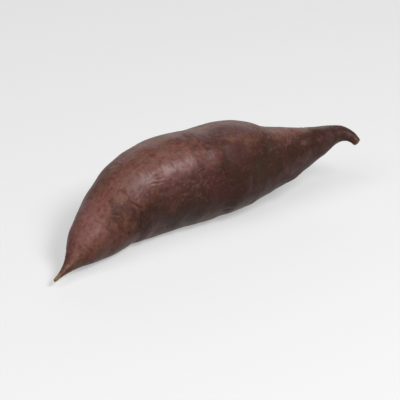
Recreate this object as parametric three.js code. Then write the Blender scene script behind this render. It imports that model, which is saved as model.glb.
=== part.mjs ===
// A sweet potato: one swollen storage root, as dug and washed, lying on its side.
//
// The root is a single solid. Its frame is in millimetres, +Z up, with the origin under the middle of its
// box on the surface that it lies on. +X runs from the root end, which tapers to a thin tail, to the crown
// end, whose narrow neck hooks over where it broke from the vine. The middle line bows to -Y at both ends.
import * as THREE from "three";
import { mergeVertices } from "three/addons/utils/BufferGeometryUtils.js";

// The driving dimensions: the root's length along its middle line, and its thickness at the belly.
const LENGTH = 234;
const THICKNESS = 56;

// How finely the skin is faceted.
const RINGS = 88;
const SIDES = 48;

const DEGREE = Math.PI / 180;
const UP = new THREE.Vector3(0, 0, 1);

// The middle line from the tail to the cut face of the neck, in hundredths of the length: x, y, z.
const MIDDLE_LINE = [
  [-47.0, -14.6, 2.1],
  [-42.1, -12.1, 3.2],
  [-37.0, -9.5, 5.0],
  [-29.6, -5.7, 7.4],
  [-23.3, -2.2, 9.2],
  [-15.0, -0.3, 10.7],
  [-6.4, 0.6, 11.5],
  [3.8, 0.4, 11.7],
  [14.5, -0.5, 11.7],
  [24.4, -1.7, 11.9],
  [35.0, -2.6, 13.3],
  [41.0, -2.8, 14.2],
  [43.5, -3.7, 14.2],
  [45.1, -5.2, 13.5],
  [46.0, -6.9, 12.2],
];

// The girth from the tail to the cut face: radius in hundredths of half the thickness, and distance along in
// hundredths of the length. It starts and ends on the middle line.
const GIRTH = [
  [0, 0],
  [3, 0.15],
  [5, 2.4],
  [8.6, 4.6],
  [14.4, 6.8],
  [22.5, 9],
  [33.5, 11.6],
  [51, 16.4],
  [73.5, 24.8],
  [89, 33.6],
  [97, 42],
  [100, 51.6],
  [93.6, 63.1],
  [68.6, 73.7],
  [40, 85.1],
  [25, 91.2],
  [19.3, 93.9],
  [14.3, 96.3],
  [10.4, 98.5],
  [8.4, 99.7],
  [0, 100],
];

// Slow swellings round the root: how many there are, their share of the radius, the angle of the first one
// at the root end, and how far they wind over the length. Angles are measured from the top towards -Y.
const LOBES = [
  { count: 2, share: 0.03, start: -6 * DEGREE, wind: 52 * DEGREE },
  { count: 3, share: 0.016, start: 55 * DEGREE, wind: -78 * DEGREE },
  { count: 5, share: 0.009, start: 10 * DEGREE, wind: 39 * DEGREE },
];

// Hollows pressed in, or swellings where the depth is negative, on one side of the root each: distance along
// in hundredths of the length, angle, and then their reach along the root, reach round it and depth in mm.
const HOLLOWS = [
  { along: 18, angle: 75 * DEGREE, length: 9, width: 15, depth: 0.9 },
  { along: 25, angle: 304 * DEGREE, length: 14, width: 20, depth: 2.9 },
  { along: 26, angle: 205 * DEGREE, length: 10, width: 16, depth: 1 },
  { along: 29, angle: 24 * DEGREE, length: 6, width: 20, depth: 0.6 },
  { along: 37, angle: 118 * DEGREE, length: 12, width: 13, depth: 1.1 },
  { along: 39, angle: 286 * DEGREE, length: 13, width: 15, depth: 1.2 },
  { along: 41, angle: 328 * DEGREE, length: 14, width: 13, depth: -0.7 },
  { along: 45, angle: 48 * DEGREE, length: 15, width: 9, depth: -0.7 },
  { along: 50.5, angle: 338 * DEGREE, length: 12, width: 15, depth: 1.3 },
  { along: 50, angle: 250 * DEGREE, length: 8, width: 20, depth: 1 },
  { along: 56, angle: 92 * DEGREE, length: 5, width: 22, depth: 0.9 },
  { along: 65, angle: 2 * DEGREE, length: 17, width: 16, depth: -1.3 },
  { along: 64, angle: 285 * DEGREE, length: 12, width: 13, depth: -0.9 },
  { along: 68, angle: 64 * DEGREE, length: 9, width: 16, depth: 0.9 },
  { along: 72, angle: 300 * DEGREE, length: 8, width: 15, depth: 0.7 },
  { along: 76, angle: 112 * DEGREE, length: 12, width: 8, depth: -0.7 },
  { along: 80, angle: 35 * DEGREE, length: 11, width: 9, depth: 0.7 },
];

// The eyes, where side roots grew: rows of shallow dimples, wider round the root than along it. Each row winds
// along the root; the distances are in hundredths of the length, and the dimples' own sizes in mm.
const EYES = {
  rows: 5,
  inRow: 7,
  first: 17,
  pitch: 10.6,
  start: 19 * DEGREE,
  rowTurn: 72 * DEGREE,
  rowStep: 4.3,
  sway: 9 * DEGREE,
  length: 2.8,
  width: 5,
  depth: 0.4,
};

// The low waves of the skin: height and wavelength along in mm, and how many there are round the root.
const WAVES = [
  { height: 0.3, length: 37, count: 2, shift: 0.4 },
  { height: 0.22, length: 23, count: 3, shift: 2.1 },
  { height: 0.14, length: 14, count: 4, shift: 4.4 },
];

// Below this radius the ends are too thin to carry hollows and eyes.
const THIN = 12;

const onMiddleLine = (point) => new THREE.Vector3(...point).multiplyScalar(LENGTH / 100);
const onGirth = ([radius, along]) => new THREE.Vector2((radius * THICKNESS) / 200, (along * LENGTH) / 100);
const middleLine = new THREE.CatmullRomCurve3(MIDDLE_LINE.map(onMiddleLine));
const girth = new THREE.SplineCurve(GIRTH.map(onGirth));

// Every eye, row by row, each row started a little further along than the last.
function eyeDimples() {
  const eyes = [];
  for (let row = 0; row < EYES.rows; row++) {
    for (let i = 0; i < EYES.inRow; i++) {
      const along = EYES.first + i * EYES.pitch + ((row * EYES.rowStep) % EYES.pitch);
      const angle = EYES.start + row * EYES.rowTurn + EYES.sway * Math.sin(1.7 * i + 2.3 * row);
      eyes.push({ along, angle, length: EYES.length, width: EYES.width, depth: EYES.depth });
    }
  }
  return eyes;
}

const dents = [...HOLLOWS, ...eyeDimples()];

// The depth of one soft-edged dent at a place on the skin.
function dentDepth(dent, along, angle, radius) {
  const turn = Math.atan2(Math.sin(angle - dent.angle), Math.cos(angle - dent.angle));
  const a = (along - (dent.along * LENGTH) / 100) / dent.length;
  const b = (turn * radius) / dent.width;
  return dent.depth * Math.exp(-a * a - b * b);
}

// The radius of the skin at a place, worked out from the girth's radius there.
function skinRadius(along, angle, radius) {
  const share = Math.min(1, radius / THIN) ** 2;
  let made = radius;
  for (const lobe of LOBES) {
    const start = lobe.start + (lobe.wind * along) / LENGTH;
    made += radius * lobe.share * Math.cos(lobe.count * (angle - start));
  }
  for (const wave of WAVES) {
    const phase = (2 * Math.PI * along) / wave.length + wave.shift + Math.cos(angle + wave.shift);
    made += share * wave.height * Math.sin(phase) * Math.cos(wave.count * angle);
  }
  for (const dent of dents) {
    made -= share * dentDepth(dent, along, angle, radius);
  }
  return made;
}

// Carries a place on the straight spindle to its place on the bent root, lying on the surface.
function bentPlace(along, angle, radius) {
  const share = THREE.MathUtils.clamp(along / LENGTH, 0, 1);
  const ahead = middleLine.getTangentAt(share);
  const near = ahead.clone().cross(UP).normalize();
  const top = near.clone().cross(ahead);
  const place = middleLine.getPointAt(share);
  place.addScaledVector(top, radius * Math.cos(angle));
  place.addScaledVector(near, radius * Math.sin(angle));
  place.z = Math.max(place.z, 0); // the low side of the belly is pressed flat where the root lies
  return place;
}

// The root: a spindle turned from its girth, then sculpted and bent along the middle line.
function rootGeometry() {
  const turned = new THREE.LatheGeometry(girth.getSpacedPoints(RINGS), SIDES);
  turned.deleteAttribute("normal");
  turned.deleteAttribute("uv");
  const geometry = mergeVertices(turned, 1e-4);
  const position = geometry.getAttribute("position");
  for (let i = 0; i < position.count; i++) {
    const [across, along, up] = [position.getX(i), position.getY(i), position.getZ(i)];
    const radius = Math.hypot(across, up);
    const angle = Math.atan2(across, up);
    const place = bentPlace(along, angle, skinRadius(along, angle, radius));
    position.setXYZ(i, place.x, place.y, place.z);
  }
  geometry.computeBoundingBox();
  const middle = geometry.boundingBox.getCenter(new THREE.Vector3());
  geometry.translate(-middle.x, -middle.y, -geometry.boundingBox.min.z);
  geometry.computeVertexNormals();
  return geometry;
}

const skin = new THREE.MeshStandardMaterial({
  color: new THREE.Color().setRGB(0.47, 0.31, 0.29, THREE.SRGBColorSpace),
  roughness: 0.58,
  metalness: 0,
});

const root = new THREE.Mesh(rootGeometry(), skin);
root.name = "sweet_potato";

const group = new THREE.Group();
group.add(root);

export default group;
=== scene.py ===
"""A whole sweet potato lying on a pale surface under a soft lamp.

The root is one swollen body with a neck that hooks over at the crown end and a thin tail at the root end.
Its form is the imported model's, made again as a fine skin and then sculpted and coloured. The root's
lengths, heights and depths are in millimetres, and its mesh is in metres.
"""

import logging
import math
import random
from dataclasses import dataclass
from enum import Enum
from typing import Any, Sequence, TypeVar, Union

import bpy
import numpy as np
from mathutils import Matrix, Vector, noise


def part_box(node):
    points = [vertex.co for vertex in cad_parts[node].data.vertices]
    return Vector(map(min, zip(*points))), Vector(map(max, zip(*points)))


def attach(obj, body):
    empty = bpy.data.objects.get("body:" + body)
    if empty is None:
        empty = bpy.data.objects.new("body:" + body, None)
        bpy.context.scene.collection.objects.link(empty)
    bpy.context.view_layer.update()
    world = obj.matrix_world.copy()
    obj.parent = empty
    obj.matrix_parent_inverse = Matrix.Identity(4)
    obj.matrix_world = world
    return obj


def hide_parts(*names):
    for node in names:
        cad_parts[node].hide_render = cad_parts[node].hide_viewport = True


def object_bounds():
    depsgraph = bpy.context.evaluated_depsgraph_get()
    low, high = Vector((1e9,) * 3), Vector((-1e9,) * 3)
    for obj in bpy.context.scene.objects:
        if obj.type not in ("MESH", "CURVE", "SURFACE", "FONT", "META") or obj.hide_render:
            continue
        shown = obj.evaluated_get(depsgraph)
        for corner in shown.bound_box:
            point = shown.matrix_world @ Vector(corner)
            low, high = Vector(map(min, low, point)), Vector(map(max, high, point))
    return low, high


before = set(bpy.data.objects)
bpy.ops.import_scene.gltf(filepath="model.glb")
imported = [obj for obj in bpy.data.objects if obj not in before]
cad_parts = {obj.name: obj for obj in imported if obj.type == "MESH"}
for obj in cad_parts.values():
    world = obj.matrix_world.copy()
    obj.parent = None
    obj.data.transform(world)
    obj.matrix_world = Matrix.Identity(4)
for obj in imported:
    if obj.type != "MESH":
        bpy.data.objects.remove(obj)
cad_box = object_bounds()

Array = np.ndarray
Triple = tuple[float, float, float]
Colour = Triple
Span = tuple[float, float]
Kind = TypeVar("Kind")

NODE = "sweet_potato"
BODY = "root"
METRES = 0.001  # one millimetre
UP = np.array((0, 0, 1))

log = logging.getLogger("sweet_potato")


def rows(kind: type[Kind], *table: Sequence[Any]) -> tuple[Kind, ...]:
    """One object of a kind for each row, whose values are in the order of its fields."""
    return tuple(kind(*row) for row in table)


def drawn(draw: random.Random, spans: Sequence[Span]) -> list[float]:
    """One number out of each span, by chance."""
    return [draw.uniform(low, high) for low, high in spans]


def in_scene(name: str, data: bpy.types.ID) -> bpy.types.Object:
    """Puts a mesh, a lamp or a camera in the scene.

    Args:
        name: the name of its object.
        data: what the object holds.

    Returns:
        The object.
    """
    made = bpy.data.objects.new(name, data)
    bpy.context.scene.collection.objects.link(made)
    return made


# --- The form of the root ---


class Spacing(Enum):
    """How a spline's knots are spaced: the power of the squared chord between two points."""

    EVEN = 0.0
    CENTRIPETAL = 0.25


@dataclass(frozen=True)
class Spline:
    """A Catmull-Rom curve through points, which can be read at equal steps of its arc length."""

    points: Array
    spacing: Spacing
    steps: int = 200

    def _padded(self) -> Array:
        """The points with one more at each end.

        Returns:
            The points, with the end ones repeated if even, and carried straight on if centripetal.
        """
        first, last = self.points[0], self.points[-1]
        if self.spacing is Spacing.CENTRIPETAL:
            first = 2 * first - self.points[1]
            last = 2 * last - self.points[-2]
        return np.vstack([first, self.points, last])

    def _gap(self, near: Array, far: Array) -> Array:
        """The knot distance between two rows of points."""
        return (((far - near) ** 2).sum(axis=1) ** self.spacing.value)[:, None]

    def at(self, share: Array) -> Array:
        """Reads the curve.

        Args:
            share: shares of the way through the knots, from 0 to 1.

        Returns:
            One row for each share.
        """
        spans = len(self.points) - 1
        knot = np.asarray(share) * spans
        span = np.minimum(knot.astype(int), spans - 1)
        part = (knot - span)[:, None]
        padded = self._padded()
        before, start, end, after = (padded[span + i] for i in range(4))
        gap0, gap1, gap2 = self._gap(before, start), self._gap(start, end), self._gap(end, after)
        leave = ((start - before) / gap0 - (end - before) / (gap0 + gap1)) * gap1 + end - start
        arrive = ((after - end) / gap2 - (after - start) / (gap1 + gap2)) * gap1 + end - start
        bend = 3 * (end - start) - 2 * leave - arrive
        twist = 2 * (start - end) + leave + arrive
        return start + leave * part + bend * part**2 + twist * part**3

    def by_length(self, share: Array) -> Array:
        """Turns shares of the arc length into the shares that at() takes.

        Args:
            share: shares of the arc length, from 0 to 1.

        Returns:
            Shares of the way through the knots.
        """
        even = np.linspace(0, 1, self.steps + 1)
        chords = np.linalg.norm(np.diff(self.at(even), axis=0), axis=1)
        lengths = np.concatenate([[0.0], np.cumsum(chords)])
        return np.interp(np.asarray(share) * lengths[-1], lengths, even)


@dataclass(frozen=True)
class Lobe:
    """A slow swelling that winds along the root, so many times round it. Angles are in degrees."""

    count: int
    share: float
    start: float
    wind: float


@dataclass(frozen=True)
class Wave:
    """A low wave of the skin: its height, its wavelength, how many go round, and where it starts."""

    height: float
    length: float
    count: int
    shift: float


@dataclass(frozen=True)
class Spot:
    """A soft-edged oval on the skin, with its reach along the root, length, and round it, width.

    Its middle is given by along, in hundredths of the root's length, and angle, in degrees from the
    top towards -Y.
    """

    along: float
    angle: float
    length: float
    width: float

    def spread(self, form: "RootForm", places: "Places") -> Array:
        """How far away each place is, squared, where 1 is at the spot's reach.

        Args:
            form: the root that it is on.
            places: where to work it out.

        Returns:
            A number for each place.
        """
        a = (places.along - self.along * form.length / 100) / self.length
        b = places.turn_from(self.angle) * places.radius / self.width
        return a * a + b * b


@dataclass(frozen=True)
class Dent(Spot):
    """A hollow, or a swelling where its depth is negative."""

    depth: float

    def fall(self, form: "RootForm", places: "Places") -> Array:
        """How far the skin falls at each place."""
        return self.depth * np.exp(-self.spread(form, places))


@dataclass(frozen=True)
class EyeRows:
    """Where side roots grew: rows of shallow dimples that wind along the root."""

    rows: int = 5
    in_row: int = 7
    first: float = 17.0
    pitch: float = 10.6
    start: float = 19.0
    row_turn: float = 72.0
    row_step: float = 4.3
    sway: float = 9.0
    sway_in_row: float = 1.7
    sway_by_row: float = 2.3
    length: float = 2.8
    width: float = 5.0
    depth: float = 0.4

    def dents(self) -> tuple[Dent, ...]:
        """Makes the dimples.

        Returns:
            Every dimple, row by row, each row started a little further along than the last.
        """
        made = []
        for row in range(self.rows):
            for i in range(self.in_row):
                along = self.first + i * self.pitch + (row * self.row_step) % self.pitch
                sway = self.sway * math.sin(self.sway_in_row * i + self.sway_by_row * row)
                angle = self.start + row * self.row_turn + sway
                made.append(Dent(along, angle, self.length, self.width, self.depth))
        return tuple(made)


@dataclass(frozen=True)
class Places:
    """Many places on the skin: how far along they are, their angle in radians, and their plain radius."""

    along: Array
    angle: Array
    radius: Array

    def turn_from(self, degrees: float) -> Array:
        """The shortest turn from an angle in degrees to each place, in radians."""
        turn = self.angle - math.radians(degrees)
        return np.arctan2(np.sin(turn), np.cos(turn))

    def straight(self, radius: Array) -> Array:
        """Where the skin is before the root is bent, at that radius: along, across and up."""
        return np.column_stack([self.along, radius * np.sin(self.angle), radius * np.cos(self.angle)])


@dataclass(frozen=True)
class RootForm:
    """The large form of the root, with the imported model's sizes."""

    length: float = 234.0
    thickness: float = 56.0
    thin: float = 12.0
    eyes: EyeRows = EyeRows()
    # x, y and z, in hundredths of the length
    middle_line: tuple[Triple, ...] = (
        (-47, -14.6, 2.1), (-42.1, -12.1, 3.2), (-37, -9.5, 5), (-29.6, -5.7, 7.4),
        (-23.3, -2.2, 9.2), (-15, -0.3, 10.7), (-6.4, 0.6, 11.5), (3.8, 0.4, 11.7),
        (14.5, -0.5, 11.7), (24.4, -1.7, 11.9), (35, -2.6, 13.3), (41, -2.8, 14.2),
        (43.5, -3.7, 14.2), (45.1, -5.2, 13.5), (46, -6.9, 12.2),
    )
    # the radius in hundredths of the greatest one, and how far along it is in hundredths of the length
    girth: tuple[Span, ...] = (
        (0, 0), (3, 0.15), (5, 2.4), (8.6, 4.6), (14.4, 6.8), (22.5, 9), (33.5, 11.6),
        (51, 16.4), (73.5, 24.8), (89, 33.6), (97, 42), (100, 51.6), (93.6, 63.1), (68.6, 73.7),
        (40, 85.1), (25, 91.2), (19.3, 93.9), (14.3, 96.3), (10.4, 98.5), (8.4, 99.7), (0, 100),
    )
    # count, share, start and wind
    lobes: tuple[Lobe, ...] = rows(Lobe, (2, 0.03, -6, 52), (3, 0.016, 55, -78), (5, 0.009, 10, 39))
    # height, length, count and shift
    waves: tuple[Wave, ...] = rows(Wave, (0.3, 37, 2, 0.4), (0.22, 23, 3, 2.1), (0.14, 14, 4, 4.4))
    # along, angle, length, width and depth
    hollows: tuple[Dent, ...] = rows(
        Dent,
        (18, 75, 9, 15, 0.9), (25, 304, 14, 20, 2.9), (26, 205, 10, 16, 1), (29, 24, 6, 20, 0.6),
        (37, 118, 12, 13, 1.1), (39, 286, 13, 15, 1.2), (41, 328, 14, 13, -0.7), (45, 48, 15, 9, -0.7),
        (50.5, 338, 12, 15, 1.3), (50, 250, 8, 20, 1), (56, 92, 5, 22, 0.9), (65, 2, 17, 16, -1.3),
        (64, 285, 12, 13, -0.9), (68, 64, 9, 16, 0.9), (72, 300, 8, 15, 0.7), (76, 112, 12, 8, -0.7),
        (80, 35, 11, 9, 0.7),
    )

    def _girth_spline(self) -> Spline:
        """Radius against distance along."""
        scale = (self.thickness / 200, self.length / 100)
        return Spline(np.array(self.girth) * scale, Spacing.EVEN)

    def _middle_spline(self) -> Spline:
        """The middle line."""
        return Spline(np.array(self.middle_line) * self.length / 100, Spacing.CENTRIPETAL)

    def places(self, rings: int, sides: int) -> Places:
        """Spreads places evenly over the root.

        Args:
            rings: how many steps there are along it.
            sides: how many steps there are round it.

        Returns:
            rings + 1 rows of sides places, the first and the last row on the middle line.
        """
        spline = self._girth_spline()
        profile = spline.at(spline.by_length(np.linspace(0, 1, rings + 1)))
        angle = np.arange(sides) * math.tau / sides
        return Places(
            along=np.repeat(profile[:, 1], sides),
            angle=np.tile(angle, rings + 1),
            radius=np.repeat(profile[:, 0], sides),
        )

    def body_share(self, places: Places) -> Array:
        """How much relief each place carries: 1 on the body, falling to 0 at the thin ends."""
        return np.minimum(1, places.radius / self.thin) ** 2

    def skin_radius(self, places: Places) -> Array:
        """The radius of the skin, with its lobes, waves, hollows and eye dimples.

        Args:
            places: where to work it out.

        Returns:
            A radius for each place.
        """
        share = self.body_share(places)
        made = places.radius.copy()
        for lobe in self.lobes:
            start = math.radians(lobe.start) + math.radians(lobe.wind) * places.along / self.length
            made += places.radius * lobe.share * np.cos(lobe.count * (places.angle - start))
        for wave in self.waves:
            phase = math.tau * places.along / wave.length + wave.shift + np.cos(places.angle + wave.shift)
            made += share * wave.height * np.sin(phase) * np.cos(wave.count * places.angle)
        for dent in (*self.hollows, *self.eyes.dents()):
            made -= share * dent.fall(self, places)
        return made

    def bent(self, places: Places, radius: Array) -> Array:
        """Carries places from the straight root to the bent one, pressed flat where it goes under z = 0.

        Args:
            places: where they are on the straight root.
            radius: how far each is from the middle line.

        Returns:
            One row of x, y, z for each place.
        """
        spline = self._middle_spline()
        knot = spline.by_length(np.clip(places.along / self.length, 0, 1))
        step = 1e-4
        ahead = spline.at(np.minimum(knot + step, 1)) - spline.at(np.maximum(knot - step, 0))
        ahead /= np.linalg.norm(ahead, axis=1)[:, None]
        near = np.cross(ahead, UP)
        near /= np.linalg.norm(near, axis=1)[:, None]
        top = np.cross(near, ahead)
        out = top * np.cos(places.angle)[:, None] + near * np.sin(places.angle)[:, None]
        made = spline.at(knot) + out * radius[:, None]
        made[:, 2] = np.maximum(made[:, 2], 0)
        return made


# --- The fine relief ---


@dataclass(frozen=True)
class Groove:
    """A narrow groove in the skin, bowed, with soft ends and low lips. A negative depth makes a ridge.

    Its middle is given as a spot's is. heading is in degrees from along the root towards round it, and
    reach is half its length. A lip's height is a share of the depth, and it stands so many widths out.
    """

    along: float
    angle: float
    heading: float
    reach: float
    width: float
    depth: float
    bow: float = 0.0
    lip_height: float = 0.2
    lip_out: float = 2.2

    def cut(self, form: RootForm, places: Places, stray: Array) -> tuple[Array, Array]:
        """Works out the groove.

        Args:
            form: the root that it is cut in.
            places: where to work it out.
            stray: how far its line strays sideways at each place.

        Returns:
            Its depth and the height of its lips at each place.
        """
        heading = math.radians(self.heading)
        a = places.along - self.along * form.length / 100
        b = places.turn_from(self.angle) * places.radius
        on = (a * math.cos(heading) + b * math.sin(heading)) / self.reach
        off = b * math.cos(heading) - a * math.sin(heading) - self.bow * (on * on - 0.5) + stray
        fade = np.exp(-(on**4)) * self.depth
        side = np.abs(off) / self.width
        lip = self.lip_height * fade * np.exp(-((side - self.lip_out) ** 2))
        return fade * np.exp(-side * side), lip


@dataclass(frozen=True)
class Patch(Spot):
    """A spot of some quality, such as a colour. The higher its edge, the sharper it ends."""

    strength: float = 1.0
    edge: float = 1.5

    def share(self, form: RootForm, places: Places) -> Array:
        """How strongly it shows at each place, from 0 to its strength."""
        return self.strength * np.exp(-(self.spread(form, places) ** self.edge))


@dataclass(frozen=True)
class Ends:
    """A change towards both ends: where it starts and where it is full, in shares of the length."""

    tail: Span
    crown: Span

    def share(self, along: Array) -> Array:
        """How far the change has come at each share of the length, 0 to 1."""
        return sum(np.clip((along - start) / (full - start), 0, 1) for start, full in (self.tail, self.crown))


@dataclass(frozen=True)
class FineRelief:
    """What a hand lens shows on the skin: eye slits, creases, scratches, wrinkles, pits and grain.

    The threads' height is a share of the radius. A groove's line strays by lumps and grain, and one of
    the full depth counts as 1 in the finish.
    """

    seed: int = 11
    lump_size: float = 7.0
    lump_height: float = 0.13
    grain_size: float = 2.6
    grain_shift: float = 100.0
    grain_height: float = 0.07
    rough_height: float = 0.17
    thread_size: float = 1.5
    thread_share: float = 0.035
    thread_stretch: Triple = (0.12, 1, 1)
    threads: Ends = Ends(tail=(0.1, 0.04), crown=(0.86, 0.96))
    stray_by_lumps: float = 0.4
    stray_by_grain: float = 0.5
    full_depth: float = 0.5
    # along, angle, heading, reach, width, depth and, where it bows, bow
    creases: tuple[Groove, ...] = rows(
        Groove,
        (26.2, 42.8, 117, 3.4, 0.6, 0.35, -0.4), (26.8, 59.8, 54, 5.2, 0.75, 0.6, -0.6),
        (28, 47.8, 8, 2.6, 0.4, 0.16, -1), (34.3, 44.4, -6, 2.6, 0.5, 0.14),
        (24.6, 64, 70, 3.2, 0.6, 0.28, 0.9), (20.9, 45, 45, 3, 0.7, 0.5, 0.4),
        (21.6, 56, 97, 2.6, 0.7, 0.45), (20.3, 74, 84, 7, 0.7, 0.28, -1.4),
        (17.2, 60, 84, 8, 0.75, 0.22, 1.2), (56.2, 112, -8, 3.8, 0.7, 0.34, 0.5),
        (57.1, 127, 1, 4, 0.7, 0.3, 0.3), (57.1, 133, -34, 1.8, 0.7, 0.28),
        (83.5, 70, 85, 5, 0.6, 0.22, 0.7), (87.2, 40, 92, 4, 0.55, 0.22, -0.5),
    )
    ridges: tuple[Groove, ...] = rows(
        Groove,
        (27.9, 50, 19, 3.5, 0.6, -0.35, -0.5), (29.9, 50.3, 153, 1.9, 0.6, -0.3, -0.3),
        (28.3, 45.5, -8, 2.2, 0.5, -0.22, -0.6), (25.8, 12.8, 19, 1.5, 0.8, -0.25),
        (23.4, 24, 114, 2, 0.8, -0.25), (36.4, 46.2, 22, 2.7, 0.45, -0.28, 0.2),
        (36.2, 50.6, 21, 3.2, 0.45, -0.34, 0.2), (35.7, 54.4, 18, 2.8, 0.45, -0.3, 0.2),
        (57, 119.8, -7, 3.8, 1, -0.26, 0.4),
    )
    scratches: tuple[Groove, ...] = rows(
        Groove,
        (36.3, 43.7, 30, 1.6, 0.45, 0.38), (36.1, 48.5, 22, 2.3, 0.45, 0.34, 0.2),
        (35.5, 52.2, 21, 3.5, 0.5, 0.48, 0.2),
    )
    # from and to: heading, reach, width, depth and bow, and before them what is drawn of the place
    slit: tuple[Span, ...] = ((74, 106), (1.4, 3.6), (0.45, 0.65), (0.15, 0.42), (-0.9, 0.9))
    slit_shift: tuple[Span, ...] = ((-0.3, 0.3), (-3, 3))
    ripple: tuple[Span, ...] = (
        (41, 53), (34, 78), (81, 99), (2.5, 6), (0.9, 1.3), (0.05, 0.14), (-0.8, 0.8),
    )
    ripples: int = 34
    wrinkle: tuple[Span, ...] = ((0, 360), (78, 102), (2.5, 8), (0.5, 0.85), (0.03, 0.12), (-1.2, 1.2))
    # where they lie, and the share of them near the ends
    wrinkled: Span = (8, 97)
    wrinkled_ends: tuple[Span, ...] = ((6, 22), (80, 97))
    wrinkles_at_ends: float = 0.45
    wrinkles: int = 120
    # from and to: along, angle, length, width and depth
    pit: tuple[Span, ...] = ((14, 88), (0, 360), (0.7, 1.2), (0.8, 1.4), (0.2, 0.4))
    pits: int = 26
    # along, angle, length, width and, where it isn't 1, strength
    rough: tuple[Patch, ...] = rows(
        Patch,
        (24, 84, 10, 8), (27, 72, 6, 6, 0.7), (22.5, 36, 14, 12, 0.8), (39, 42, 22, 9, -0.3),
        (59.5, 42, 8, 9, 0.5), (59, 205, 16, 10), (36, 262, 11, 12, 0.8), (77, 150, 13, 9, 0.8),
    )

    def eye_slits(self, form: RootForm, draw: random.Random) -> list[Groove]:
        """A slit across the bottom of each eye dimple, no two alike."""
        eyes = ((eye.along, eye.angle) for eye in form.eyes.dents())
        return [Groove(*np.add(eye, drawn(draw, self.slit_shift)), *drawn(draw, self.slit)) for eye in eyes]

    def ring_wrinkles(self, draw: random.Random) -> list[Groove]:
        """Shallow wrinkles that run round the root, more of them near its ends.

        Args:
            draw: where chance comes from.

        Returns:
            The wrinkles.
        """
        made = []
        for _ in range(self.wrinkles):
            middle = draw.uniform(*self.wrinkled)
            near_end = draw.choice(drawn(draw, self.wrinkled_ends))
            along = near_end if draw.random() < self.wrinkles_at_ends else middle
            made.append(Groove(along, *drawn(draw, self.wrinkle)))
        return made

    def near_ripples(self, draw: random.Random) -> list[Groove]:
        """Soft ripples that run round the near side of the belly."""
        return [Groove(*drawn(draw, self.ripple)) for _ in range(self.ripples)]

    def small_pits(self, draw: random.Random) -> list[Dent]:
        """Small round pits, where hair roots broke off."""
        return [Dent(*drawn(draw, self.pit)) for _ in range(self.pits)]

    @staticmethod
    def rumple(points: Array, size: float, octaves: int) -> Array:
        """Fractal noise at each point, about -1 to 1, with its largest bumps of that size."""
        fade, finer = 1.0, 2.0
        return np.array([noise.fractal(Vector(p), fade, finer, octaves) for p in points / size])

    def carve(self, form: RootForm, places: Places, radius: Array) -> tuple[Array, Array, Array]:
        """Carves the relief in the skin.

        Args:
            form: the root.
            places: where its skin is.
            radius: its radius with the large form alone.

        Returns:
            The finished radius, then for each place 1 in a groove to -1 on a ridge, and how rough it is.
        """
        draw = random.Random(self.seed)
        share = form.body_share(places)
        straight = places.straight(radius)
        lumps = self.rumple(straight, self.lump_size, octaves=2)
        grain = self.rumple(straight + self.grain_shift, self.grain_size, octaves=3)
        stray = self.stray_by_grain * grain + self.stray_by_lumps * lumps
        made = radius.copy()
        depth = np.zeros_like(radius)
        marks = (*self.creases, *self.ridges, *self.scratches)
        slits, wrinkles = self.eye_slits(form, draw), self.ring_wrinkles(draw)
        for groove in (*marks, *slits, *wrinkles, *self.near_ripples(draw)):
            fall, lip = groove.cut(form, places, stray)
            depth = np.where(np.abs(fall) > np.abs(depth), fall, depth)
            made += lip - fall
        for pit in self.small_pits(draw):
            fall = pit.fall(form, places)
            depth = np.maximum(depth, fall)
            made -= share * fall
        rough = np.minimum(1, sum(patch.share(form, places) for patch in self.rough))
        grain_height = self.grain_height + self.rough_height * rough
        made += share * (self.lump_height * lumps + grain_height * grain)
        threads = self.rumple(straight * self.thread_stretch, self.thread_size, octaves=2)
        fibrous = self.threads.share(places.along / form.length)
        made += self.thread_share * places.radius * fibrous * threads
        return made, np.clip(depth / self.full_depth, -1, 1), rough


# --- Shader maths ---

Socket = bpy.types.NodeSocket
Operand = Union["Value", float]


@dataclass(frozen=True)
class Value:
    """A number that varies over a surface. Its operators add Math nodes."""

    shade: "Shade"
    socket: Socket

    def __add__(self, other: Operand) -> "Value":
        """The sum."""
        return self.shade.math("ADD", self, other)

    __radd__ = __add__

    def __sub__(self, other: Operand) -> "Value":
        """The difference."""
        return self.shade.math("SUBTRACT", self, other)

    def __rsub__(self, other: Operand) -> "Value":
        """The difference the other way round."""
        return self.shade.math("SUBTRACT", other, self)

    def __mul__(self, other: Operand) -> "Value":
        """The product."""
        return self.shade.math("MULTIPLY", self, other)

    __rmul__ = __mul__

    def ragged(self, pattern: "Value", depth: float) -> "Value":
        """This mask with its edge moved by a noise pattern, by so much of the pattern's swing."""
        return self + depth * (pattern - 0.5)

    def between(self, none: float, full: float) -> "Value":
        """A number that is none where this mask is 0 and full where it is 1."""
        return none + (full - none) * self

    def rise(self, low: float, high: float) -> "Value":
        """0 at low and under, 1 at high and over, smooth between; falls if high is under low."""
        inputs = {"Value": self, "From Min": low, "From Max": high}
        return self.shade.value("ShaderNodeMapRange", {"interpolation_type": "SMOOTHSTEP"}, inputs)


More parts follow.
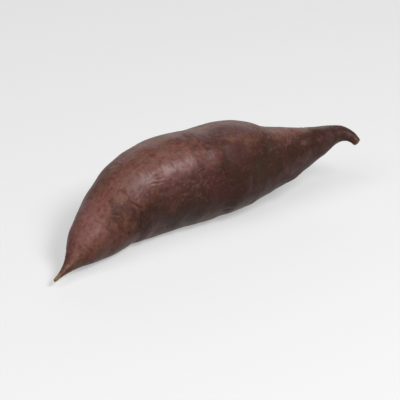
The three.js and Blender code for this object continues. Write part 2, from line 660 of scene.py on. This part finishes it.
class Shade:
    """The node tree of a material or a world, and the ways that a finish adds to it."""

    def __init__(self, owner: Union[bpy.types.Material, bpy.types.World]) -> None:
        """Starts an empty tree.

        Args:
            owner: what the tree belongs to.
        """
        owner.use_nodes = True
        self.tree = owner.node_tree
        self.tree.nodes.clear()

    def node(self, kind: str, settings: dict[str, Any], inputs: dict[Any, Any]) -> bpy.types.Node:
        """Adds a node.

        Args:
            kind: the node's type.
            settings: its own properties, which are set first.
            inputs: a number, colour, Value or socket for each input, by its name or its number.

        Returns:
            The node.
        """
        made = self.tree.nodes.new(kind)
        for name, setting in settings.items():
            setattr(made, name, setting)
        for key, given in inputs.items():
            target = made.inputs[key]
            if isinstance(given, Value):
                given = given.socket
            if isinstance(given, Socket):
                self.tree.links.new(given, target)
            elif target.type == "RGBA":
                target.default_value = (*given, 1.0)
            else:
                target.default_value = given
        return made

    def value(self, kind: str, settings: dict[str, Any], inputs: dict[Any, Any]) -> Value:
        """Adds a node and reads its first output that is in use."""
        made = self.node(kind, settings, inputs)
        return Value(self, next(socket for socket in made.outputs if socket.enabled))

    def math(self, operation: str, *operands: Operand) -> Value:
        """Adds a Math node."""
        return self.value("ShaderNodeMath", {"operation": operation}, dict(enumerate(operands)))

    def attribute(self, name: Enum) -> Socket:
        """The vector that the mesh holds under that name."""
        return self.node("ShaderNodeAttribute", {"attribute_name": name.value}, {}).outputs["Vector"]

    def numbers(self, name: Enum) -> tuple[Value, Value, Value]:
        """The three numbers in the vector that the mesh holds under that name."""
        made = self.node("ShaderNodeSeparateXYZ", {}, {0: self.attribute(name)})
        return tuple(Value(self, socket) for socket in made.outputs)

    def coated(self, ground: Colour, *coats: tuple[Operand, Colour]) -> Socket:
        """Lays coats of colour over a ground.

        Args:
            ground: the colour below them all.
            coats: how much of a coat is laid on and its colour, for each coat, the lowest first.

        Returns:
            The colour on top.
        """
        factor, under, over = 0, 6, 7
        made = ground
        for share, colour in coats:
            inputs = {factor: share, under: made, over: colour}
            made = self.value("ShaderNodeMix", {"data_type": "RGBA", "blend_type": "MIX"}, inputs).socket
        return made

    def seen(self) -> Value:
        """Tells rays that show a surface from rays that light one.

        Returns:
            1 for a ray that shows it, straight, in a gloss or through glass, and 0 for the rest.
        """
        rays = self.node("ShaderNodeLightPath", {}, {}).outputs
        kinds = ("Is Camera Ray", "Is Glossy Ray", "Is Transmission Ray")
        straight, gloss, glass = (Value(self, rays[kind]) for kind in kinds)
        return self.math("MAXIMUM", self.math("MAXIMUM", straight, gloss), glass)


@dataclass(frozen=True)
class Place:
    """Where a pattern is drawn: coordinates, the first of them along the root."""

    shade: Shade
    socket: Socket

    def vectors(self, operation: str, *operands: Union[Socket, Triple]) -> "Place":
        """Adds a Vector Math node."""
        made = self.shade.node("ShaderNodeVectorMath", {"operation": operation}, dict(enumerate(operands)))
        return Place(self.shade, made.outputs["Vector"])

    def shifted(self, by: Triple) -> "Place":
        """This place moved."""
        return self.vectors("ADD", self.socket, by)

    def stretched(self, along: float, across: float = 1.0) -> "Place":
        """This place divided, which stretches a pattern by that much along and across the root."""
        return self.vectors("DIVIDE", self.socket, (along, across, across))

    def strayed(self, size: float, by: float) -> "Place":
        """This place moved about by noise of that size, by up to about half that far."""
        drift = self.shade.node("ShaderNodeTexNoise", {}, {"Vector": self.socket, "Scale": 1 / size})
        return self.vectors("MULTIPLY_ADD", drift.outputs["Color"], (by, by, by), self.socket)

    def noise(self, size: float, detail: float, rough: float = 0.5) -> Value:
        """Cloudy noise, mostly 0.3 to 0.7: the size of its lumps, its finer layers and their strength."""
        inputs = {"Vector": self.socket, "Scale": 1 / size, "Detail": detail, "Roughness": rough}
        return self.shade.value("ShaderNodeTexNoise", {}, inputs)

    def cells(self, feature: str, pitch: float) -> Value:
        """Distances in a pattern of irregular cells, in pitches."""
        inputs = {"Vector": self.socket, "Scale": 1 / pitch}
        return self.shade.value("ShaderNodeTexVoronoi", {"feature": feature}, inputs)

    def spots(self, pitch: float, radius: float, core: float = 0.4) -> Value:
        """Scattered round spots, 1 in the core, which is that share of the radius, and 0 outside."""
        return self.cells("F1", pitch).rise(radius / pitch, core * radius / pitch)

    def net(self, pitch: float, width: float) -> Value:
        """The lines of a net of irregular cells, 1 on a line and 0 off it. Its width is half a line's."""
        return self.cells("DISTANCE_TO_EDGE", pitch).rise(width / pitch, 0.0)


def linear(red: int, green: int, blue: int) -> Colour:
    """A colour given in the usual 0 to 255 steps, as the light that it stands for."""
    steps = (part / 255 for part in (red, green, blue))
    return tuple(s / 12.92 if s <= 0.04045 else ((s + 0.055) / 1.055) ** 2.4 for s in steps)


# --- The skin's finish ---


class Marks(Enum):
    """What the mesh carries for the finish: three numbers at each vertex, under these names."""

    STRAIGHT = "straight"
    TINTS = "tints"
    SHADES = "shades"
    WEAR = "wear"


@dataclass(frozen=True)
class Coat:
    """A colour that shows where a pattern goes from one level to another, and how strongly at most."""

    colour: Colour
    start: float
    full: float
    strength: float = 1.0

    def over(self, pattern: Value, *masks: Value) -> tuple[Value, Colour]:
        """How much of the coat a pattern lays on, cut down by each mask, and its colour."""
        return math.prod(masks, start=pattern.rise(self.start, self.full) * self.strength), self.colour


@dataclass(frozen=True)
class SkinFinish:
    """The thin dry skin: rosy brown going to olive and plum, mottled, netted and flecked.

    A coat's numbers are the level of its pattern where it starts to show, the level where it shows in
    full, and its strength there. A pair is a strength on clean skin and on dusty skin. The dark brown,
    grey, lilac and groove coats also paint shade, a rim sheen and a highlight into the colour.
    """

    brown: Colour = linear(84, 51, 39)
    rosy: Colour = linear(104, 56, 50)
    wine: Colour = linear(62, 27, 26)
    pale: Colour = linear(118, 84, 74)
    # pale lilac: a little real dusty bloom, and a painted highlight where it is laid on the crest
    bloom_and_highlight: Colour = linear(119, 84, 85)
    fleck: Colour = linear(120, 84, 70)
    dim: Colour = linear(60, 32, 24)
    earth: Colour = linear(38, 23, 19)
    red_clouds: Coat = Coat(linear(89, 53, 45), 0.4, 0.6)
    rosy_clouds: Coat = Coat(rosy, 0.5, 0.6, 0.6)
    tan_clouds: Coat = Coat(linear(95, 65, 48), 0.48, 0.38, 0.75)
    plum_clouds: Coat = Coat(linear(72, 38, 37), 0.52, 0.66, 0.6)
    # dark brown: partly the skin's own colour, partly painted shade on the lower and right side
    umber_and_shade_patches: Coat = Coat(linear(41, 19, 12), 0.2, 0.9, 0.9)
    olive_patches: Coat = Coat(linear(46, 30, 16), 0.2, 0.8, 0.85)
    # wine inside the dark brown patches, deepening the painted shade there
    wine_in_umber_and_shade: Coat = Coat(wine, 0.5, 0.62, 0.45)
    # grey: partly the skin's own grey, partly a painted sheen along the neck's lower edge and the top edge
    grey_and_rim_sheen_patches: Coat = Coat(linear(76, 57, 57), 0.2, 0.9, 0.8)
    rosy_patches: Coat = Coat(rosy, 0.3, 0.8, 0.8)
    wine_patches: Coat = Coat(wine, 0.3, 0.8, 0.75)
    pale_dust: Coat = Coat(pale, 0.52, 0.7, 0.6)
    dim_dust: Coat = Coat(dim, 0.48, 0.36, 0.55)
    pale_grain: Coat = Coat(pale, 0.52, 0.64)
    dim_grain: Coat = Coat(dim, 0.48, 0.36)
    rubbed_streaks: Coat = Coat(pale, 0.53, 0.68, 0.5)
    scurf: Coat = Coat(linear(106, 75, 64), 0.55, 0.62)
    freckles: Coat = Coat(fleck, 0.38, 0.58, 0.4)
    specks: Coat = Coat(earth, 0.4, 0.6, 0.4)
    earth_in_rough: Coat = Coat(earth, 0.92, 1.15, 0.6)
    # dark red in every groove, slit and pit: partly the creases' own colour, partly painted shade
    dark_and_shaded_grooves: Coat = Coat(linear(60, 26, 24), 0.1, 0.9, 0.7)
    ridges: Coat = Coat(fleck, -0.15, -0.8, 0.45)
    bare_wood: Coat = Coat(linear(116, 88, 62), 0.3, 0.8)
    bloom_and_highlight_strength: float = 0.33
    scurf_on_dust: float = 0.3
    scurf_on_rough: float = 0.4
    net_strength: float = 0.12
    hairline_strength: float = 0.35
    lenticel_strength: Span = (0.02, 0.32)
    fleck_strength: Span = (0.12, 1.0)
    pale_grain_strength: Span = (0.12, 0.57)
    dim_grain_strength: Span = (0.6, 0.3)
    elsewhere: Triple = (90, 40, 20)
    net_height: float = 0.02
    hairline_depth: float = 0.05
    lenticel_height: float = 0.02
    pore_height: float = 0.03
    grain_height: float = 0.075
    fibre_height: float = 0.05
    roughness: float = 0.43
    roughness_swing: float = 0.25
    roughness_of_rough: float = 0.3
    specular: float = 0.17

    def colour(self, place: Place) -> Socket:
        """The skin's colour, coat over coat.

        Args:
            place: where the straight root's skin is.

        Returns:
            The colour's socket.
        """
        # the third mark here is grey skin and a painted sheen along the edges
        rosy, olive, grey_and_rim_sheen = place.shade.numbers(Marks.TINTS)
        # the first mark here is dark brown skin and painted shade on the lower and right side
        umber_and_shade, wine, dust_and_highlight = place.shade.numbers(Marks.SHADES)
        groove, rough, wood = place.shade.numbers(Marks.WEAR)
        cloud = self._cloud(place)
        blotch = place.stretched(along=1.2).strayed(size=9, by=6).noise(size=10, detail=5, rough=0.6)
        mottle = place.shifted(self.elsewhere).strayed(size=7, by=5).noise(size=6, detail=3)
        grain = place.noise(size=2.4, detail=3, rough=0.55)
        dust = place.stretched(along=1.4).noise(size=3.2, detail=5, rough=0.7)
        streaks = place.strayed(size=14, by=6).stretched(along=7).noise(size=1.9, detail=4, rough=0.65)
        crusts = place.strayed(size=4, by=3).noise(size=9, detail=6, rough=0.68)
        clusters = place.strayed(size=9, by=4).noise(size=13, detail=2)
        fleck_place = place.strayed(size=2.5, by=1.1).stretched(along=0.8, across=1.3)
        flecks = fleck_place.spots(pitch=2.9, radius=1.15)
        coarse = mottle.rise(low=0.35, high=0.65)
        flecked = dust_and_highlight.between(*self.fleck_strength)
        crusted = dust_and_highlight * dust_and_highlight * self.scurf_on_dust + rough * self.scurf_on_rough
        return place.shade.coated(
            self.brown,
            self.red_clouds.over(cloud),
            self.rosy_clouds.over(mottle),
            self.tan_clouds.over(mottle),
            self.plum_clouds.over(blotch),
            # painted shade: dark brown laid on the lower and right side, over some real dark brown skin
            self.umber_and_shade_patches.over(umber_and_shade.ragged(blotch, depth=1.2)),
            self.olive_patches.over(olive.ragged(mottle, depth=1.4)),
            # wine within the dark brown patches, deepening the painted shade
            self.wine_in_umber_and_shade.over(mottle, umber_and_shade),
            # painted sheen: grey laid along the neck's lower edge and the top edge, over some real grey skin
            self.grey_and_rim_sheen_patches.over(grey_and_rim_sheen.ragged(mottle, depth=1.2)),
            self.rosy_patches.over(rosy.ragged(blotch, depth=1.2)),
            self.wine_patches.over(wine.ragged(blotch, depth=1.6)),
            # painted highlight: pale lilac laid on the crest, strongest where the dusty mask is full, with
            # some real dusty bloom
            (dust_and_highlight * dust_and_highlight * self.bloom_and_highlight_strength, self.bloom_and_highlight),
            self.pale_dust.over(dust, flecked),
            self.dim_dust.over(dust),
            self.pale_grain.over(grain, coarse, dust_and_highlight.between(*self.pale_grain_strength)),
            self.dim_grain.over(grain, coarse, dust_and_highlight.between(*self.dim_grain_strength)),
            self.rubbed_streaks.over(streaks, flecked),
            self.scurf.over(crusts, grain.rise(low=0.4, high=0.6), crusted),
            self.freckles.over(clusters, flecks, flecked),
            (self._net(place, cloud) * flecked * self.net_strength, self.pale),
            (self._hairlines(place) * self.hairline_strength, self.earth),
            (self._lenticels(place) * dust_and_highlight.between(*self.lenticel_strength), self.pale),
            self.specks.over(dust, place.spots(pitch=3.4, radius=0.5)),
            self.earth_in_rough.over(rough * (grain + mottle)),
            # painted shade in the grooves, over their own dark red
            self.dark_and_shaded_grooves.over(groove),
            self.ridges.over(groove),
            self.bare_wood.over(wood.ragged(grain, depth=0.6)),
        )

    @staticmethod
    def _cloud(place: Place) -> Value:
        """Broad clouds, drawn out along the root."""
        return place.stretched(along=1.5).noise(size=19, detail=3)

    @staticmethod
    def _net(place: Place, cloud: Value) -> Value:
        """A net of fine raised lines, here and there."""
        drawn_out = place.stretched(along=1.35).strayed(size=2.2, by=1.7)
        return drawn_out.net(pitch=2.6, width=0.34) * cloud.rise(low=0.42, high=0.6)

    @staticmethod
    def _hairlines(place: Place) -> Value:
        """Dark hairlines that run round the root."""
        drawn_out = place.strayed(size=9, by=3).stretched(along=1, across=8)
        return drawn_out.noise(size=1.3, detail=3, rough=0.6).rise(low=0.58, high=0.72)

    @staticmethod
    def _lenticels(place: Place) -> Value:
        """Short raised dashes that lie round the root, here and there."""
        dashes = place.strayed(size=6, by=2).stretched(along=0.5, across=1.3).spots(pitch=4.6, radius=0.75)
        return dashes * place.noise(size=12, detail=2).rise(low=0.42, high=0.58)

    def height(self, place: Place) -> Value:
        """The relief that is too fine for the mesh.

        Args:
            place: where the straight root's skin is.

        Returns:
            Its height.
        """
        net = self._net(place, self._cloud(place))
        pores = place.noise(size=0.8, detail=3, rough=0.6)
        grain = place.noise(size=2.3, detail=3, rough=0.55)
        fibres = place.stretched(along=7).noise(size=0.9, detail=2)
        lines = net * self.net_height - self._hairlines(place) * self.hairline_depth
        lumps = pores * self.pore_height + grain * self.grain_height + fibres * self.fibre_height
        return lines + self._lenticels(place) * self.lenticel_height + lumps

    def material(self) -> bpy.types.Material:
        """Builds the material.

        Returns:
            The material.
        """
        made = bpy.data.materials.new("sweet_potato_skin")
        shade = Shade(made)
        place = Place(shade, shade.attribute(Marks.STRAIGHT))
        _, rough, _ = shade.numbers(Marks.WEAR)
        swing = self.roughness_swing * (place.noise(size=7, detail=4, rough=0.6) - 0.5)
        bump = shade.node("ShaderNodeBump", {}, {"Distance": METRES, "Height": self.height(place)})
        inputs = {
            "Base Color": self.colour(place),
            "Roughness": self.roughness + swing + self.roughness_of_rough * rough,
            "Normal": bump.outputs["Normal"],
            "Specular IOR Level": self.specular,
        }
        skin = shade.node("ShaderNodeBsdfPrincipled", {}, inputs)
        shade.node("ShaderNodeOutputMaterial", {}, {"Surface": skin.outputs[0]})
        return made


# --- The root ---


@dataclass
class SweetPotato:
    """The whole root: its form, its fine relief, the places where its colour changes, and its finish."""

    form: RootForm = RootForm()
    relief: FineRelief = FineRelief()
    finish: SkinFinish = SkinFinish()
    rings: int = 400
    sides: int = 240
    woody: Ends = Ends(tail=(0.035, 0.005), crown=(0.993, 0.999))
    # along, angle, length, width and, where it isn't 1, strength of each patch
    rosy: tuple[Patch, ...] = rows(
        Patch,
        (15, 356, 20, 18, 0.7), (34, 8, 34, 16, 0.4), (38.7, 54, 4.6, 6.2), (51, 62, 5, 10, 0.4),
        (54.5, 47, 5, 9, 0.4), (64, 38, 9, 10, 0.25), (69, 46, 15, 9, 0.3), (76, 34, 7, 8, 0.33),
        (60, 262, 40, 26, 0.8),
    )
    olive: tuple[Patch, ...] = rows(
        Patch,
        (69, 68, 17, 15), (72, 20, 16, 8, 0.3), (43, 112, 24, 12, 0.6), (21, 36, 10, 9, 0.6),
        (33, 11, 5, 5, 0.5), (38, 190, 30, 26, 0.6), (57.5, 121, 9, 5.5),
    )
    # grey patches, several along the neck's lower edge and the top edge: painted sheen as well as grey skin
    grey_and_rim_sheen: tuple[Patch, ...] = rows(
        Patch,
        (85, 81, 12, 5, 0.4), (78, 93, 13, 5, 0.55), (70, 106, 16, 5.5, 0.65), (96, 40, 18, 40, 0.5),
        (60, 17, 28, 6), (28, 92, 14, 7, 0.4),
    )
    # dark brown patches, mostly on the lower and right side: painted shade as well as the skin's own colour
    umber_and_shade: tuple[Patch, ...] = rows(
        Patch,
        (65, 80, 36, 23), (53, 20, 22, 12, 0.4), (82, 80, 34, 15, 0.8), (95, 60, 22, 40, 0.6),
        (42, 12, 24, 8, 0.25), (28, 90, 12, 10, 0.7), (42, 100, 44, 18, 0.6), (84, 57, 14, 6, 0.7),
        (47.5, 80, 12, 10, 0.8), (24, 27, 8, 8, 0.42), (29.7, 38, 6, 6, 0.4), (34, 53, 9, 6, 0.3),
        (40.5, 69, 13, 7, 0.3), (58, 57, 8, 8, 0.3), (48, 215, 60, 30, 0.35),
    )
    wine: tuple[Patch, ...] = rows(
        Patch,
        (52, 86, 6, 14, 0.9), (60, 66, 9, 12, 0.4), (46, 69, 9, 9, 0.5), (31.6, 56, 5, 3.5, 0.9),
        (40.4, 59, 1.5, 5), (38, 61, 8, 2.8), (40, 63, 13, 6, 0.45), (29.6, 27, 3, 3, 0.6),
        (24, 66, 5, 8, 0.6), (66, 318, 14, 12, 0.6), (59.4, 42, 8, 9, 0.8), (25.5, 40, 9, 7, 0.35),
        (56, 101, 6, 3.5, 0.8), (74.7, 61, 6, 6, 0.6), (76.5, 20, 8, 5, 0.3),
    )
    # real dust and flecks, and the crest patch at (38, 40) that carries the painted highlight
    dust_and_highlight: tuple[Patch, ...] = rows(
        Patch,
        (24, 30, 26, 24, 0.45), (44, 18, 40, 14, 0.35), (38, 40, 24, 9), (45, 66, 22, 13, 0.6),
        (14, 20, 14, 14, 0.5), (17, 340, 12, 9, 0.6), (72, 24, 20, 8, 0.5), (79, 28, 11, 6, 0.45),
        (30, 250, 36, 24),
    )

    def _corners(self) -> list[Array]:
        """Lays faces over the rows of places, with a point in place of each end row.

        Returns:
            The row and the step round of each corner of each face: the fan at the tail, the quads
            between the rows, and the fan at the crown.
        """
        kinds = (
            (0, 1, ((0, 0.5), (1, 1), (1, 0))),
            (1, self.rings - 1, ((0, 0), (0, 1), (1, 1), (1, 0))),
            (self.rings - 1, self.rings, ((1, 0.5), (0, 0), (0, 1))),
        )
        made = []
        for first, end, corners in kinds:
            starts = np.indices((end - first, self.sides)).reshape(2, -1).T + (first, 0)
            made.append(starts[:, None] + np.array(corners))
        return made

    def _faces(self) -> list[list[int]]:
        """The vertices of each face.

        Returns:
            A list of vertex numbers for each face, where each end row is a single vertex.
        """
        last = (self.rings - 1) * self.sides + 1
        made = []
        for corners in self._corners():
            numbers = 1 + (corners[..., 0] - 1) * self.sides + corners[..., 1] % self.sides
            made += np.clip(numbers, 0, last).astype(int).tolist()
        return made

    def _unwrapped(self, places: Places) -> Array:
        """The texture place of each face corner.

        Args:
            places: where the skin is.

        Returns:
            Shares of the way along the root and round it from its seam, one after another.
        """
        rows_along = places.along[:: self.sides] / self.form.length
        corners = np.concatenate([kind.reshape(-1, 2) for kind in self._corners()])
        along = rows_along[corners[:, 0].astype(int)]
        return np.column_stack([along, corners[:, 1] / self.sides]).ravel()

    def _vertices(self, per_place: Array) -> Array:
        """Keeps one of each end row's values, as the poles are single vertices."""
        return np.concatenate([per_place[:1], per_place[self.sides : -self.sides], per_place[-1:]])

    def _marks(self, places: Places, radius: Array, groove: Array, rough: Array) -> dict[Marks, Array]:
        """The numbers that the finish reads.

        Args:
            places: where the skin is.
            radius: its finished radius.
            groove: 1 in a groove to -1 on a ridge.
            rough: how rough each place is, up to 1.

        Returns:
            Three numbers for each place under each name.
        """
        tints, shades = (
            [np.clip(sum(patch.share(self.form, places) for patch in patches), 0, 1) for patches in three]
            for three in ((self.rosy, self.olive, self.grey_and_rim_sheen), (self.umber_and_shade, self.wine, self.dust_and_highlight))
        )
        return {
            Marks.STRAIGHT: places.straight(radius),
            Marks.TINTS: np.column_stack(tints),
            Marks.SHADES: np.column_stack(shades),
            Marks.WEAR: np.column_stack([groove, rough, self.woody.share(places.along / self.form.length)]),
        }

    def build(self) -> bpy.types.Object:
        """Makes the skin's mesh, with its texture map and its marks.

        Returns:
            The object, in the frame, in metres.
        """
        places = self.form.places(self.rings, self.sides)
        large = self.form.skin_radius(places)
        radius, groove, rough = self.relief.carve(self.form, places, large)
        plain, made = self.form.bent(places, large), self.form.bent(places, radius)
        low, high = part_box(NODE)
        middle = (plain.min(axis=0) + plain.max(axis=0)) / 2 * METRES
        shift = np.array([(low.x + high.x) / 2 - middle[0], (low.y + high.y) / 2 - middle[1], low.z])
        vertices = self._vertices(made) * METRES + shift

        mesh = bpy.data.meshes.new("skin")
        mesh.from_pydata(vertices.tolist(), [], self._faces())
        mesh.shade_smooth()
        mesh.uv_layers.new(name="OFBake").data.foreach_set("uv", self._unwrapped(places))
        for mark, numbers in self._marks(places, radius, groove, rough).items():
            layer = mesh.attributes.new(mark.value, "FLOAT_VECTOR", "POINT")
            layer.data.foreach_set("vector", self._vertices(numbers).astype(np.float32).ravel())
        mesh.validate()
        return in_scene("skin", mesh)

    def dress(self, skin: bpy.types.Object) -> None:
        """Gives the skin its finish and its place in the frame.

        Args:
            skin: the skin's object.
        """
        skin.data.materials.append(self.finish.material())
        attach(skin, BODY)
        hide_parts(NODE)


# --- The studio ---


@dataclass(frozen=True)
class Stand:
    """A place to look at the object from: azimuth 0 is towards -Y and 90 towards +X, in degrees."""

    azimuth: float
    elevation: float
    distance: float

    def put(self, thing: bpy.types.Object, centre: Vector) -> None:
        """Puts a lamp or a camera there.

        Args:
            thing: what is put there.
            centre: the point that it looks at.
        """
        a, e = math.radians(self.azimuth), math.radians(self.elevation)
        out = Vector((math.sin(a) * math.cos(e), -math.cos(a) * math.cos(e), math.sin(e)))
        thing.location = centre + out * self.distance
        thing.rotation_mode = "QUATERNION"
        thing.rotation_quaternion = out.to_track_quat("Z", "Y")


@dataclass(frozen=True)
class Lamp(Stand):
    """A soft lamp. Its level is how bright it makes a white surface that faces it, 1 for white."""

    name: str
    width: float
    height: float
    level: float

    def hang(self, centre: Vector) -> None:
        """Hangs the lamp.

        Args:
            centre: the point that it looks at.
        """
        data = bpy.data.lights.new(self.name, "AREA")
        data.shape = "RECTANGLE"
        data.size = self.width
        data.size_y = self.height
        data.energy = self.level * (math.pi * self.distance) ** 2
        hung = in_scene(self.name, data)
        hung.visible_camera = False
        self.put(hung, centre)


@dataclass
class Studio:
    """The pale surface, the lamps, the room's light and the camera. Sizes are in metres."""

    eye: Stand = Stand(azimuth=-32.0, elevation=26.0, distance=1.185)
    lens: float = 182.0
    aim: Triple = (0.004, 0.0, -0.016)
    floor_width: float = 8.0
    floor_pale: Colour = (0.38, 0.38, 0.38)
    floor_glow: float = 0.4
    floor_bounce: Colour = (0.12, 0.11, 0.1)
    room_seen: float = 0.34
    room_light: float = 0.06
    # azimuth, elevation, distance, name, width, height and level
    lamps: tuple[Lamp, ...] = rows(
        Lamp,
        (-70, 54, 2.0, "window", 1.8, 1.8, 0.66),
        (12, 46, 1.6, "softbox", 0.72, 0.5, 1.0),
        (150, 20, 1.8, "back_light", 1.6, 0.7, 0.21),
    )

    def floor(self) -> None:
        """Lays the surface. It shows pale, but sends little light up on the root."""
        half = self.floor_width / 2
        mesh = bpy.data.meshes.new("floor")
        corners = [(-half, -half, 0), (half, -half, 0), (half, half, 0), (-half, half, 0)]
        mesh.from_pydata(corners, [], [(0, 1, 2, 3)])
        made = bpy.data.materials.new("pale_surface")
        shade = Shade(made)
        bounce = shade.node("ShaderNodeBsdfDiffuse", {}, {"Color": self.floor_bounce})
        pale = shade.node("ShaderNodeBsdfDiffuse", {}, {"Color": self.floor_pale})
        glow = shade.node("ShaderNodeEmission", {}, {"Strength": self.floor_glow})
        lifted = shade.node("ShaderNodeAddShader", {}, {0: pale.outputs[0], 1: glow.outputs[0]})
        shown = {0: shade.seen(), 1: bounce.outputs[0], 2: lifted.outputs[0]}
        face = shade.node("ShaderNodeMixShader", {}, shown)
        shade.node("ShaderNodeOutputMaterial", {}, {"Surface": face.outputs[0]})
        mesh.materials.append(made)
        floor = in_scene("floor", mesh)

    def room(self) -> None:
        """Lights the room: pale where it is seen, and a soft fill where it lights the skin."""
        world = bpy.data.worlds.new("room")
        shade = Shade(world)
        strength = self.room_light + (self.room_seen - self.room_light) * shade.seen()
        back = shade.node("ShaderNodeBackground", {}, {"Color": (1, 1, 1), "Strength": strength})
        shade.node("ShaderNodeOutputWorld", {}, {"Surface": back.outputs[0]})
        bpy.context.scene.world = world

    def build(self) -> None:
        """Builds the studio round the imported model's box."""
        bpy.context.scene.view_settings.view_transform = "Standard"
        low, high = cad_box
        centre = (low + high) / 2
        self.floor()
        self.room()
        for lamp in self.lamps:
            lamp.hang(centre)
        data = bpy.data.cameras.new("camera")
        data.lens = self.lens
        camera = in_scene("camera", data)
        self.eye.put(camera, centre + Vector(self.aim))
        bpy.context.scene.camera = camera


def main() -> None:
    """Builds the root and the studio."""
    logging.basicConfig(level=logging.INFO, format="%(message)s")
    potato = SweetPotato()
    skin = potato.build()
    potato.dress(skin)
    log.info("%s: %d faces for %s", skin.name, len(skin.data.polygons), NODE)
    Studio().build()
    log.info("studio: ready")


if __name__ == "__main__":
    main()
